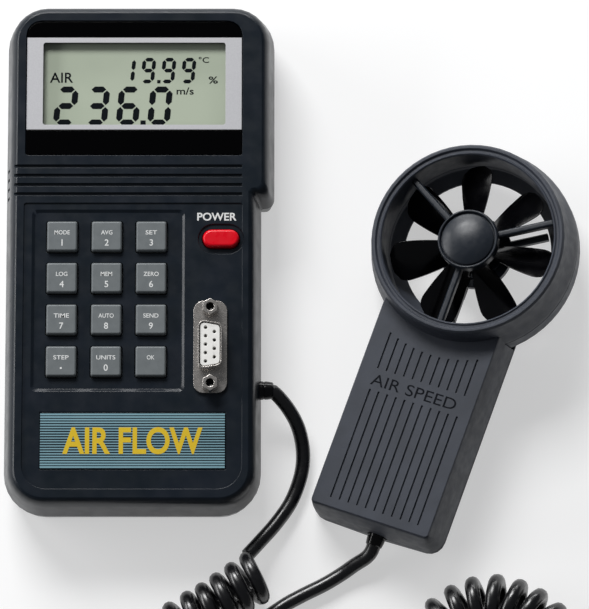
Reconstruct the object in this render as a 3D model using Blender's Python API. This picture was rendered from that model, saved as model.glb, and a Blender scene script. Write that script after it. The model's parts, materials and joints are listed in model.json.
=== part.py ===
"""A handheld vane anemometer: a meter, a vane probe and the curly cord that joins them.

The meter lies on its back, centred on the origin, with its display towards +Y and its face
up. The probe lies to the right of it, turned about Z and rolled on to the left facet of its
keeled back. Every length below is in millimetres, and each mesh is scaled to metres as it is
made.
"""

import math

import bmesh
import bpy
from mathutils import Matrix, Vector

MM = 0.001
GAP = 0.3  # clearance between neighbouring solids

# Meter case, seen from its face: the display end carries a lobe on its right side.
CASE_LEFT, CASE_RIGHT, LOBE_RIGHT = -44.0, 39.7, 44.0
CASE_TOP, CASE_BOTTOM = 84.0, -85.0
LOBE_START = 17.0
CASE_CORNER = 13.5
BACK_TOP = 12.4  # top of the back shell's rim
FRONT_BOTTOM = BACK_TOP + GAP
PARTING = BACK_TOP + GAP / 2
FACE = 26.2  # top of the raised rim round the face
WALL = 2.2
CEILING = 22.8  # underside of the face wall
BACK_FLOOR = 2.0  # inner floor of the back shell
CORNER_STEPS = 7

# Recesses in the face: (left, right, bottom, top), and the height of each floor
PANEL = (-37.6, 33.6, -78.1, 16.1)
PANEL_CORNER = 8.0
PANEL_FLOOR = 25.7
KEYPAD = (-34.9, 14.9, -46.2, 13.9)
KEYPAD_FLOOR = 25.1
KEYPAD_SLOPE = 0.9  # how far the walls of the keypad's recess lean in
WINDOW_FLOOR = 24.4
LABEL_FLOOR = 25.3
GROOVE_TOP, GROOVE_PITCH, GROOVES = 28.35, 3.1, 4

# Display window
WINDOW = (-37.4, 33.6, 32.0, 77.3)  # left, right, bottom, top
BAND = (40.4, 71.9)  # bottom and top of the bright surround
LCD = (-31.8, 28.0, 42.3, 69.9)

# Keypad
KEY_SIZE, KEY_CORNER = 9.9, 0.5
KEY_PITCH = (14.52, 13.77)
KEY_CENTRE = (-10.5, -15.8)  # middle of the twelve keys
KEY_ROWS, KEY_COLUMNS = 4, 3
KEY_TOP = 27.2
KEY_FLANGE = (21.6, 22.5)  # retaining flange under the face wall
POWER_CENTRE = (26.65, 4.2)
POWER_SIZE = (11.9, 5.9)

# Nine-way D connector, a standard part
PORT_CENTRE = (23.3, -31.7)
JACK_SPACING = 24.99
PORT_FLANGE = (10.9, 30.3, 0.9)  # width, length, thickness
PORT_FLANGE_Z = PANEL_FLOOR + GAP
PORT_SKIRT_TOP = 31.9
SOCKET_PITCH = 2.77
SOCKET_ROWS = 2.84

# Battery compartment, at the lower end
BATTERY = (48.5, 26.5, 17.5)
BATTERY_CENTRE = (-0.9, -65.3)
DOOR = (-25.0, 23.0, -83.4, -50.0)

LABEL = (-31.6, 28.1, -71.5, -53.2)
BOARD = (-38.0, 34.5, -49.5, 69.8)
CASE_SCREWS = [(-35.0, -75.0), (31.0, -75.0), (-35.0, 75.0), (34.5, 75.0)]

# Cord
CORD_R = 2.35
CURLY_R = 9.1
GLAND_Y = -43.7
METER_LEAD = [
    (41.7, -43.7, 12.55), (43.7, -44.0, 12.3), (48.0, -48.4, 9.4), (51.3, -53.6, 6.0),
    (53.0, -59.2, 3.6), (53.4, -65.2, 2.5), (52.3, -71.6, 2.4), (49.3, -79.2, 2.6),
    (44.6, -86.2, 3.8), (39.6, -92.2, 5.9), (35.4, -97.2, 8.6),
]
CURLY_AXIS = [
    (38.8, -103.9), (24.8, -113.7), (10.2, -123.5), (-3.0, -143.0), (-1.0, -168.0),
    (26.7, -185.0), (62.2, -189.0), (101.0, -182.0), (127.5, -164.0), (137.0, -145.5),
    (136.9, -129.6), (129.6, -118.0), (114.8, -112.4), (100.4, -118.0), (92.6, -130.6),
    (90.5, -146.0),
]
PROBE_LEAD_END = [
    (74.0, -97.6, 4.9), (70.2, -99.9, 3.7), (65.9, -102.8, 2.6), (60.2, -106.2, 2.4),
    (52.8, -109.9, 2.4), (46.0, -113.8, 2.4), (35.6, -121.6, 2.4), (26.8, -131.4, 2.4),
    (24.6, -143.4, 2.4), (31.4, -155.0, 2.4), (46.0, -161.6, 2.4), (62.0, -162.6, 2.4),
    (74.5, -159.0, 3.2), (81.4, -152.8, 6.2), (83.9, -146.8, 8.9),
]

# Probe, in its own frame: origin on the duct's axis, +Y from handle to duct, +Z to the front
PROBE_PLACE = (112.6, 1.8)
PROBE_TURN = math.radians(-20.0)
KEEL_ANGLE = math.radians(12.5)
DUCT_OUTER, DUCT_LIP, DUCT_BORE = 34.2, 31.9, 28.4
DUCT_REAR = 24.6  # the bore narrows to this behind the vane
DUCT_BACK, DUCT_SEAM, DUCT_FRONT = 7.8, 15.0, 29.2
DUCT_SIDES = 60
HANDLE_HALF = 22.8  # half width at the parting plane
HANDLE_FACE_HALF = 20.2
HANDLE_SHIFT = -0.8  # the handle's middle, left of the duct's axis
HANDLE_END = -99.0
HANDLE_SEAM = 6.0
HANDLE_FACE = 21.0
PROBE_SCREWS = [(-8.0, -90.0), (8.0, -90.0), (-8.0, -41.0), (8.0, -41.0)]
SPOKE_ANGLES = [math.radians(a) for a in (30.0, 150.0, 270.0)]
BLADES = 7
BLADE_TIP, BLADE_HUB = 27.3, 7.0
BLADE_BACK, BLADE_FRONT = 13.6, 22.0
BLADE_ROOT_WIDTH, BLADE_FLARE, BLADE_THICK = 4.9, 6.9, 0.9
BLADE_PHASE = math.radians(3.4)

COLOURS = {
    "case_plastic": ((0.022, 0.027, 0.034), 0.42, 0.0),
    "probe_plastic": ((0.055, 0.062, 0.072), 0.55, 0.0),
    "gloss_black": ((0.006, 0.006, 0.007), 0.12, 0.0),
    "window_black": ((0.003, 0.003, 0.004), 0.08, 0.0),
    "silver_print": ((0.50, 0.51, 0.53), 0.35, 0.2),
    "lcd_glass": ((0.36, 0.40, 0.30), 0.15, 0.0),
    "key_grey": ((0.13, 0.145, 0.15), 0.55, 0.0),
    "button_red": ((0.72, 0.01, 0.02), 0.35, 0.0),
    "connector_metal": ((0.42, 0.40, 0.37), 0.35, 1.0),
    "insulator_white": ((0.85, 0.83, 0.76), 0.45, 0.0),
    "label_film": ((0.14, 0.28, 0.32), 0.35, 0.0),
    "circuit_board": ((0.02, 0.12, 0.05), 0.5, 0.0),
    "silicone": ((0.30, 0.31, 0.32), 0.7, 0.0),
    "battery_jacket": ((0.04, 0.05, 0.12), 0.4, 0.0),
    "screw_steel": ((0.35, 0.35, 0.36), 0.3, 1.0),
    "cord_jacket": ((0.004, 0.004, 0.005), 0.15, 0.0),
}


# ---------------------------------------------------------------- scene and materials

def clear_scene():
    for obj in list(bpy.data.objects):
        bpy.data.objects.remove(obj, do_unlink=True)


def new_collection(name, parent=None):
    made = bpy.data.collections.new(name)
    (parent or bpy.context.scene.collection).children.link(made)
    return made


def make_material(name):
    colour, roughness, metallic = COLOURS[name]
    made = bpy.data.materials.new(name)
    made.use_nodes = True
    shader = made.node_tree.nodes["Principled BSDF"]
    shader.inputs["Base Color"].default_value = (*colour, 1.0)
    shader.inputs["Roughness"].default_value = roughness
    shader.inputs["Metallic"].default_value = metallic
    return made


clear_scene()
PARTS = new_collection("vane_anemometer")
CUTTERS = new_collection("cutters")
MATERIALS = {name: make_material(name) for name in COLOURS}


def make_empty(name, location, rotation):
    empty = bpy.data.objects.new(name, None)
    empty.location = Vector(location) * MM
    empty.rotation_euler = rotation
    PARTS.objects.link(empty)
    return empty


def probe_rotation():
    """Rolled about the probe's long axis on to one facet of its keel, then turned about Z."""
    return (Matrix.Rotation(PROBE_TURN, 3, "Z") @ Matrix.Rotation(-KEEL_ANGLE, 3, "Y")).to_euler()


PROBE = make_empty("probe_frame", (*PROBE_PLACE, 0.0), probe_rotation())


def mesh_of(name, bm):
    """A mesh in metres from a bmesh in millimetres, with its normals out and round sides smooth."""
    bmesh.ops.recalc_face_normals(bm, faces=bm.faces)
    bmesh.ops.scale(bm, vec=(MM, MM, MM), verts=bm.verts)
    mesh = bpy.data.meshes.new(name)
    bm.to_mesh(mesh)
    bm.free()
    mesh.shade_smooth()
    mesh.set_sharp_from_angle(angle=math.radians(35))
    return mesh


def add_part(name, shape, material, parent=None, location=(0, 0, 0)):
    """A named piece from a bmesh, or from a mesh that it shares with another piece."""
    mesh = mesh_of(name, shape) if isinstance(shape, bmesh.types.BMesh) else shape
    if not mesh.materials:
        mesh.materials.append(MATERIALS[material])
    obj = bpy.data.objects.new(name, mesh)
    obj.location = Vector(location) * MM
    obj.parent = parent
    PARTS.objects.link(obj)
    return obj


def combine(target, operation, shapes):
    """Joins or cuts the target with each shape, through one exact Boolean over a collection."""
    title = f"{target.name}_{operation.lower()}"
    helpers = new_collection(title, CUTTERS)
    for index, shape in enumerate(shapes):
        helper = bpy.data.objects.new(f"{title}_{index}", mesh_of(title, shape))
        helper.parent = target.parent
        helper.hide_render = True
        helper.display_type = "WIRE"
        helpers.objects.link(helper)
    modifier = target.modifiers.new(operation.title(), "BOOLEAN")
    modifier.operation = operation
    modifier.operand_type = "COLLECTION"
    modifier.collection = helpers
    modifier.solver = "EXACT"
    return target


def cut(target, *shapes):
    return combine(target, "DIFFERENCE", shapes)


def join(target, *shapes):
    return combine(target, "UNION", shapes)


def cut_again(target, *shapes):
    """A second round of cuts, after a join."""
    name = target.name
    target.name = name + "_finish"
    combine(target, "DIFFERENCE", shapes)
    target.name = name


# ---------------------------------------------------------------- shapes

def rounded_outline(corners, inset=0.0, steps=4):
    """Points round a polygon of (x, y, radius) corners, anticlockwise, each corner an arc.

    An inset moves every side inwards by that much. A large radius shrinks with it.
    """
    points = []
    count = len(corners)
    for i, (x, y, radius) in enumerate(corners):
        here = Vector((x, y))
        to_last = (Vector(corners[i - 1][:2]) - here).normalized()
        to_next = (Vector(corners[(i + 1) % count][:2]) - here).normalized()
        inward_last = Vector((to_last.y, -to_last.x))
        inward_next = Vector((-to_next.y, to_next.x))
        here += inset * (inward_last + inward_next) / (1 + inward_last.dot(inward_next))
        if radius > 2 * inset:
            radius -= inset
        half = to_last.angle(to_next) / 2
        reach = radius / math.tan(half)
        centre = here + (to_last + to_next).normalized() * radius / math.sin(half)
        first = here + to_last * reach - centre
        sweep = math.pi - 2 * half
        if to_last.cross(to_next) > 0:
            sweep = -sweep
        for step in range(steps + 1):
            angle = sweep * step / steps
            turned = Matrix.Rotation(angle, 2) @ first
            points.append(centre + turned)
    return points


def rectangle(left, right, bottom, top, radius):
    return [(left, bottom, radius), (right, bottom, radius), (right, top, radius),
            (left, top, radius)]


def at_height(outline, z):
    return [Vector((p.x, p.y, z)) for p in outline]


def loft(rings):
    """A closed surface through rings with the same number of points, capped at both ends."""
    bm = bmesh.new()
    levels = [[bm.verts.new(point) for point in ring] for ring in rings]
    count = len(levels[0])
    for low, high in zip(levels, levels[1:]):
        for i in range(count):
            j = (i + 1) % count
            bm.faces.new((low[i], low[j], high[j], high[i]))
    bm.faces.new(levels[0])
    bm.faces.new(levels[-1])
    return bm


def plate(outline, low, high):
    """A flat outline extruded between two heights."""
    bm = bmesh.new()
    face = bm.faces.new([bm.verts.new(point) for point in at_height(outline, low)])
    raised = bmesh.ops.extrude_face_region(bm, geom=[face])["geom"]
    top = [v for v in raised if isinstance(v, bmesh.types.BMVert)]
    bmesh.ops.translate(bm, vec=(0, 0, high - low), verts=top)
    return bm


def slab(left, right, bottom, top, low, high, radius=0.0):
    """A box, or a plate with rounded corners."""
    if radius:
        return plate(rounded_outline(rectangle(left, right, bottom, top, radius)), low, high)
    bm = bmesh.new()
    size = Matrix.Diagonal((right - left, top - bottom, high - low, 1.0))
    centre = Vector((left + right, bottom + top, low + high)) / 2
    bmesh.ops.create_cube(bm, size=1.0, matrix=Matrix.Translation(centre) @ size)
    return bm


def cylinder(centre, radius, low, high, sides=16, top_radius=None):
    bm = bmesh.new()
    middle = Vector((*centre, (low + high) / 2))
    bmesh.ops.create_cone(
        bm, cap_ends=True, segments=sides, radius1=radius,
        radius2=radius if top_radius is None else top_radius,
        depth=high - low, matrix=Matrix.Translation(middle))
    return bm


def turned(profile, sides=36, hollow=False):
    """A profile of (radius, height) points turned about Z, as a solid or as a ring."""
    bm = bmesh.new()
    verts = [bm.verts.new((radius, 0, height)) for radius, height in profile]
    pairs = list(zip(verts, verts[1:]))
    if hollow:
        pairs.append((verts[-1], verts[0]))
    edges = [bm.edges.new(pair) for pair in pairs]
    bmesh.ops.spin(
        bm, geom=verts + edges, cent=(0, 0, 0), axis=(0, 0, 1), angle=2 * math.pi,
        steps=sides, use_merge=True)
    bmesh.ops.remove_doubles(bm, verts=bm.verts, dist=1e-4)
    return bm


def moved(bm, offset):
    bmesh.ops.translate(bm, vec=offset, verts=bm.verts)
    return bm


def rotated(bm, angle, axis):
    bmesh.ops.rotate(bm, cent=(0, 0, 0), matrix=Matrix.Rotation(angle, 3, axis), verts=bm.verts)
    return bm


def stadium(length, width):
    half, radius = length / 2, width / 2
    return rounded_outline(rectangle(-half, half, -radius, radius, radius * 0.999), steps=5)


def shifted(outline, centre):
    return [p + Vector(centre) for p in outline]


def smooth_route(points, spacing):
    """Points about this far apart on a Catmull-Rom curve through the given ones."""
    knots = [Vector(p) for p in points]
    knots = [2 * knots[0] - knots[1]] + knots + [2 * knots[-1] - knots[-2]]
    route = []
    for a, b, c, d in zip(knots, knots[1:], knots[2:], knots[3:]):
        parts = max(1, round((c - b).length / spacing))
        for i in range(parts):
            t = i / parts
            route.append(0.5 * (2 * b + (c - a) * t + (2 * a - 5 * b + 4 * c - d) * t * t
                                + (3 * b - 3 * c + d - a) * t ** 3))
    route.append(knots[-2])
    return route


def add_tube(name, points, radius, spacing, material):
    """A plain tube along a smooth route, its ends filled."""
    curve = bpy.data.curves.new(name, "CURVE")
    curve.dimensions = "3D"
    curve.bevel_depth = radius * MM
    curve.bevel_resolution = 2
    curve.use_fill_caps = True
    route = smooth_route(points, spacing)
    spline = curve.splines.new("POLY")
    spline.points.add(len(route) - 1)
    for point, place in zip(spline.points, route):
        point.co = (*(place * MM), 1.0)
    curve.materials.append(MATERIALS[material])
    tube = bpy.data.objects.new(name, curve)
    PARTS.objects.link(tube)
    return tube


# ---------------------------------------------------------------- meter case

CASE_CORNERS = [
    (CASE_LEFT, CASE_BOTTOM, CASE_CORNER), (CASE_RIGHT, CASE_BOTTOM, CASE_CORNER),
    (CASE_RIGHT, LOBE_START, 1.0), (LOBE_RIGHT, LOBE_START, 3.1),
    (LOBE_RIGHT, CASE_TOP, CASE_CORNER), (CASE_LEFT, CASE_TOP, CASE_CORNER),
]


def case_ring(inset, z):
    return at_height(rounded_outline(CASE_CORNERS, inset, CORNER_STEPS), z)


def key_centres():
    """Centres of the keys from the top left, row by row."""
    for row in range(KEY_ROWS):
        for column in range(KEY_COLUMNS):
            x = KEY_CENTRE[0] + (column - (KEY_COLUMNS - 1) / 2) * KEY_PITCH[0]
            y = KEY_CENTRE[1] - (row - (KEY_ROWS - 1) / 2) * KEY_PITCH[1]
            yield x, y


def jack_centres():
    return [(PORT_CENTRE[0], PORT_CENTRE[1] + side * JACK_SPACING / 2) for side in (1, -1)]


def gland_hole():
    hole = cylinder((0, 0), 3.4, 0, 20, sides=16)
    return moved(rotated(hole, math.pi / 2, "Y"), (34.0, GLAND_Y, PARTING))


def grip_grooves():
    """Four grooves across the face below the window, running down the left side."""
    cutters = []
    for index in range(GROOVES):
        y = GROOVE_TOP - GROOVE_PITCH * index
        cutters.append(slab(-50, 33.5, y - 0.5, y + 0.5, FACE - 0.8, FACE + 2))
        cutters.append(slab(-50, -42.7, y - 0.5, y + 0.5, 15.5, FACE + 1))
    return cutters


def keypad_recess(top):
    """The cutter of the keypad's recess, whose walls slope outwards up to the panel."""
    corners = rectangle(*KEYPAD, 1.6)
    wide, narrow = rounded_outline(corners), rounded_outline(corners, KEYPAD_SLOPE)
    return loft([at_height(narrow, KEYPAD_FLOOR), at_height(wide, PANEL_FLOOR),
                 at_height(wide, top)])


def make_front_shell():
    shell = add_part("front_shell", loft([
        case_ring(4.8, CEILING), case_ring(3.7, 21.5), case_ring(WALL, FRONT_BOTTOM),
        case_ring(0.0, FRONT_BOTTOM), case_ring(1.5, 21.5), case_ring(2.2, 24.3),
        case_ring(3.1, 25.6), case_ring(4.1, FACE),
    ]), "case_plastic")
    join(shell, *[cylinder(c, 3.2, 4.7, CEILING + 1, sides=14) for c in CASE_SCREWS])
    window = [(WINDOW[0], WINDOW[2], 0.8), (WINDOW[1], WINDOW[2], 0.8),
              (WINDOW[1], WINDOW[3], 5.0), (WINDOW[0], WINDOW[3], 5.0)]
    left, right, bottom, upper = PANEL
    panel = [(left, bottom, PANEL_CORNER), (right, bottom, PANEL_CORNER), (right, upper, 0.8),
             (left, upper, 0.8)]
    top = FACE + 2
    under = CEILING - 2
    power_bed = shifted(stadium(15.0, 10.0), POWER_CENTRE)
    power_hole = shifted(stadium(POWER_SIZE[0] + 0.7, POWER_SIZE[1] + 0.7), POWER_CENTRE)
    hole = KEY_SIZE / 2 + 0.35
    cut(
        shell,
        plate(rounded_outline(panel, steps=CORNER_STEPS), PANEL_FLOOR, top),
        plate(rounded_outline(window), WINDOW_FLOOR, top),
        slab(LCD[0] - 1, LCD[1] + 1, LCD[2] - 1, LCD[3] + 1, under, top),
        keypad_recess(top),
        slab(LABEL[0] - 0.3, LABEL[1] + 0.3, LABEL[2] - 0.3, LABEL[3] + 0.3, LABEL_FLOOR, top),
        plate(power_bed, KEYPAD_FLOOR, top),
        plate(power_hole, under, top),
        slab(PORT_CENTRE[0] - 5.0, PORT_CENTRE[0] + 5.0, PORT_CENTRE[1] - 9.6,
             PORT_CENTRE[1] + 9.6, under, top, radius=1.0),
        gland_hole(),
        *[slab(x - hole, x + hole, y - hole, y + hole, under, top, radius=0.8)
          for x, y in key_centres()],
        *[cylinder(c, 1.9, under, top, sides=12) for c in jack_centres()],
        *[cylinder(c, 1.55, 4.0, 20.0, sides=10) for c in CASE_SCREWS],
        *grip_grooves(),
    )
    return shell


def make_back_shell():
    shell = add_part("back_shell", loft([
        case_ring(3.4, 0.0), case_ring(1.9, 0.5), case_ring(1.1, 1.9), case_ring(0.0, BACK_TOP),
        case_ring(WALL, BACK_TOP), case_ring(3.2, 3.4), case_ring(4.4, BACK_FLOOR),
    ]), "case_plastic")
    join(shell, *[cylinder(c, 4.2, 0.6, 4.3, sides=14) for c in CASE_SCREWS])
    left, right, _, top = DOOR
    cut(
        shell,
        gland_hole(),
        slab(left - GAP, right + GAP, CASE_BOTTOM - 2, top + GAP, -2, BACK_FLOOR + 0.4),
        *[cylinder(c, 3.0, -1.0, 2.7, sides=16) for c in CASE_SCREWS],
        *[cylinder(c, 1.55, 2.0, 6.0, sides=10) for c in CASE_SCREWS],
    )
    return shell


def make_battery_door():
    """A flat door in the back, with thumb ridges, that slides off the lower end."""
    left, right, bottom, top = DOOR
    door = add_part("battery_door", slab(left, right, bottom, top, 0.35, 2.0, radius=1.0),
                    "case_plastic")
    ridges = [slab(-10, 8, bottom + 5 + 2 * i, bottom + 6 + 2 * i, -0.2, 0.8) for i in range(5)]
    return cut(door, *ridges)


def screw_shape(head_r, head, shank_r, tip):
    """A screw pointing up: its head between two heights, then a shank to its tip."""
    low, high = head
    return turned([(0, tip), (shank_r * 0.6, tip), (shank_r, tip - 1.2), (shank_r, high),
                   (head_r, high), (head_r, low), (0, low)], sides=10)


def add_screws(name, centres, head_r, head, shank_r, tip, parent=None):
    for index, (x, y) in enumerate(centres):
        screw = add_part(f"{name}_{index + 1}", screw_shape(head_r, head, shank_r, tip),
                         "screw_steel", parent)
        arm, deep = head_r * 0.65, head[0] + 0.7
        slots = [slab(-arm, arm, -0.35, 0.35, head[0] - 1, deep),
                 slab(-0.35, 0.35, -arm, arm, head[0] - 1, deep)]
        cut(screw, *slots)
        screw.location = Vector((x, y, 0)) * MM
        for helper in screw.modifiers["Difference"].collection.objects:
            helper.location = screw.location


# ---------------------------------------------------------------- meter face

def make_display():
    left, right, bottom, top = WINDOW
    ease = 0.3
    outline = [(left + ease, bottom + ease, 0.6), (right - ease, bottom + ease, 0.6),
               (right - ease, top - ease, 4.7), (left + ease, top - ease, 4.7)]
    low, high = WINDOW_FLOOR + GAP, PANEL_FLOOR + 0.2
    channel = high - 0.6
    panel = add_part("window_panel", plate(rounded_outline(outline), low, high), "window_black")
    cut(panel, slab(*LCD, low - 1, high + 1, radius=0.8),
        slab(left - 1, right + 1, BAND[0], BAND[1], channel, high + 1))
    bezel = add_part("display_bezel", slab(left + ease, right - ease, BAND[0] + GAP, BAND[1] - GAP,
                                           channel + GAP, high), "silver_print")
    cut(bezel, slab(*LCD, low - 1, high + 1, radius=0.8))
    add_part("lcd_glass", slab(LCD[0] - 0.5, LCD[1] + 0.5, LCD[2] - 0.5, LCD[3] + 0.5, 21.9, 23.4),
             "lcd_glass")
    add_part("lcd_connector_strip", slab(-28, 25, LCD[2], LCD[2] + 2.6, 18.1, 21.6), "silicone")


def make_keys():
    """Twelve square keys on one shape, numbered from the top left."""
    half = KEY_SIZE / 2
    low, high = KEY_FLANGE

    def ring(size, z):
        corners = rectangle(-size, size, -size, size, KEY_CORNER)
        return at_height(rounded_outline(corners, steps=2), z)

    shape = loft([ring(half + 0.95, low), ring(half + 0.95, high), ring(half, high),
                  ring(half - 0.05, KEY_TOP - 0.5), ring(half - 0.45, KEY_TOP)])
    shared = mesh_of("key", shape)
    for index, (x, y) in enumerate(key_centres()):
        add_part(f"key_{index + 1:02d}", shared, "key_grey", location=(x, y, 0))


def make_power_button():
    length, width = POWER_SIZE
    low, high = KEY_FLANGE
    top = KEY_TOP + 0.3

    def ring(grow, z):
        return at_height(stadium(length + grow, width + grow), z)

    add_part("power_button", loft([
        ring(1.9, low), ring(1.9, high), ring(0.0, high), ring(0.0, top - 1.0),
        ring(-0.7, top - 0.3), ring(-2.0, top),
    ]), "button_red", location=(*POWER_CENTRE, 0))
    x, y = POWER_CENTRE
    add_part("power_switch", slab(x - 4, x + 4, y - 3, y + 3, 18.1, 19.8), "window_black")


def d_outline(inset=0.0):
    """The D shape of the connector, its wide side to the left."""
    corners = [(-3.9, -8.2, 1.9), (3.9, -6.85, 1.9), (3.9, 6.85, 1.9), (-3.9, 8.2, 1.9)]
    return shifted(rounded_outline(corners, inset, steps=3), PORT_CENTRE)


def make_serial_port():
    width, length, thick = PORT_FLANGE
    x, y = PORT_CENTRE
    low = PORT_FLANGE_Z
    flange = add_part("serial_port_flange",
                      slab(x - width / 2, x + width / 2, y - length / 2, y + length / 2,
                           low, low + thick, radius=3.2), "connector_metal")
    join(flange, plate(d_outline(), low + 0.2, PORT_SKIRT_TOP))
    cut(flange, plate(d_outline(0.45), low - 1, PORT_SKIRT_TOP + 1),
        *[cylinder(c, 1.75, low - 1, low + 2, sides=12) for c in jack_centres()])
    top = PORT_SKIRT_TOP - 0.3
    body = add_part("serial_port_insulator", plate(d_outline(0.75), 18.1, top), "insulator_white")
    sockets = []
    for column, count in ((-SOCKET_ROWS / 2, 5), (SOCKET_ROWS / 2, 4)):
        for i in range(count):
            place = (x + column, y + (i - (count - 1) / 2) * SOCKET_PITCH)
            sockets.append(cylinder(place, 0.6, top - 4, top + 1, sides=8))
    cut(body, *sockets)
    for name, centre in zip(("jackscrew_upper", "jackscrew_lower"), jack_centres()):
        across = 4.75 / math.cos(math.pi / 6) / 2
        post = add_part(name, cylinder(centre, across, low + thick + GAP, PORT_SKIRT_TOP - 0.2,
                                       sides=6), "connector_metal")
        join(post, cylinder(centre, 1.4, 19.0, low + thick + 1, sides=12))
        cut(post, cylinder(centre, 1.35, PORT_SKIRT_TOP - 4.5, PORT_SKIRT_TOP + 1, sides=12))


def make_label():
    left, right, bottom, top = LABEL
    add_part("label_plate", slab(left, right, bottom, top, LABEL_FLOOR + GAP, PANEL_FLOOR + 0.25),
             "label_film")


# ---------------------------------------------------------------- meter insides

def make_insides():
    add_part("main_board", slab(*BOARD, 16.2, 17.8, radius=2.0), "circuit_board")
    add_part("processor_chip", slab(-12, 4, 22, 38, 13.4, 15.9), "window_black")
    left, right, bottom, top = KEYPAD
    mat = add_part("keypad_mat", slab(left + 0.6, right - 1.3, bottom + 1.0, top - 0.5, 18.1, 19.3),
                   "silicone")
    join(mat, *[cylinder(c, 4.2, 18.6, 20.1, sides=8, top_radius=3.4) for c in key_centres()])
    length, width, height = BATTERY
    x, y = BATTERY_CENTRE
    left = x - length / 2
    add_part("battery", slab(left, left + length, y - width / 2, y + width / 2, 2.6,
                             2.6 + height, radius=1.5), "battery_jacket")
    add_part("battery_snap", slab(left - 4.3, left - GAP, y - 12.5, y + 12.5, 4.0, 18.0,
                                  radius=1.0), "gloss_black")
    gland = turned([(0, 6.6), (2.7, 6.6), (3.1, 5.4), (3.1, 1.4), (4.2, 1.4), (4.2, 0), (0, 0)],
                   sides=20)
    add_part("meter_gland", moved(rotated(gland, math.pi / 2, "Y"), (34.6, GLAND_Y, PARTING)),
             "gloss_black")


# ---------------------------------------------------------------- probe shells

def handle_ring(half, bottom, top, radius, z):
    left, right = HANDLE_SHIFT - half, HANDLE_SHIFT + half
    corners = [(left, bottom, radius), (right, bottom, radius), (right, top, 0.5),
               (left, top, 0.5)]
    return at_height(rounded_outline(corners), z)


def duct_cutter(radius, low, high):
    return cylinder((0, 0), radius, low, high, sides=DUCT_SIDES)


def handle_grooves():
    """Eleven fine grooves in two rows, the upper row starting on an arc round the duct."""
    cutters = []
    for index in range(11):
        x = (index - 5) * 3.05
        arc = -math.sqrt(39.0 ** 2 - x * x)
        for top, bottom in ((arc, -48.5), (-55.8, -93.5)):
            cutters.append(slab(x - 0.28, x + 0.28, bottom, top, HANDLE_FACE - 0.6,
                                HANDLE_FACE + 1))
    return cutters


def gland_hole_probe():
    hole = cylinder((0, 0), 3.4, 0, 10, sides=16)
    return moved(rotated(hole, math.pi / 2, "X"), (0, HANDLE_END + 6, HANDLE_SEAM + GAP / 2))


def make_probe_front():
    low = HANDLE_SEAM + GAP
    half, face = HANDLE_HALF, HANDLE_FACE_HALF
    into_duct = -12.0
    shell = add_part("probe_front_shell", loft([
        handle_ring(half, HANDLE_END, into_duct, 5.0, low),
        handle_ring(half - 0.9, HANDLE_END + 0.6, into_duct, 4.2, HANDLE_FACE - 6.0),
        handle_ring(face + 0.4, HANDLE_END + 2.0, into_duct, 1.6, HANDLE_FACE - 0.7),
        handle_ring(face, HANDLE_END + 2.6, into_duct, 1.0, HANDLE_FACE),
    ]), "probe_plastic", PROBE)
    seam = DUCT_SEAM + GAP
    cut(shell, duct_cutter(DUCT_OUTER + GAP, -1, seam + 0.5),
        duct_cutter(DUCT_BORE + 1.0, -1, DUCT_FRONT + 1),
        loft([handle_ring(half - 2, HANDLE_END + 2, -34.6, 3.4, low - 1),
              handle_ring(face - 1.6, HANDLE_END + 3.2, -34.6, 2.6, HANDLE_FACE - 2.2)]))
    duct = turned([
        (DUCT_OUTER, seam), (DUCT_OUTER - 0.2, seam + 1.7), (DUCT_OUTER - 1.3, seam + 5.5),
        (DUCT_LIP + 0.2, DUCT_FRONT - 3.2), (DUCT_LIP, DUCT_FRONT - 1.0),
        (DUCT_LIP - 0.6, DUCT_FRONT - 0.1), (DUCT_LIP - 1.4, DUCT_FRONT - 0.1),
        (DUCT_LIP - 1.9, DUCT_FRONT - 0.9), (DUCT_BORE + 0.9, DUCT_FRONT - 0.9),
        (DUCT_BORE + 0.5, DUCT_FRONT - 0.4), (DUCT_BORE, DUCT_FRONT - 0.9), (DUCT_BORE, seam),
    ], sides=DUCT_SIDES, hollow=True)
    bosses = [cylinder(c, 2.7, HANDLE_SEAM - 0.1 + GAP, HANDLE_FACE - 1.5, sides=12)
              for c in PROBE_SCREWS]
    join(shell, duct, *bosses)
    cut_again(shell, gland_hole_probe(), *handle_grooves(),
              *[cylinder(c, 1.35, 4.0, 16.0, sides=10) for c in PROBE_SCREWS])
    return shell


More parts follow.
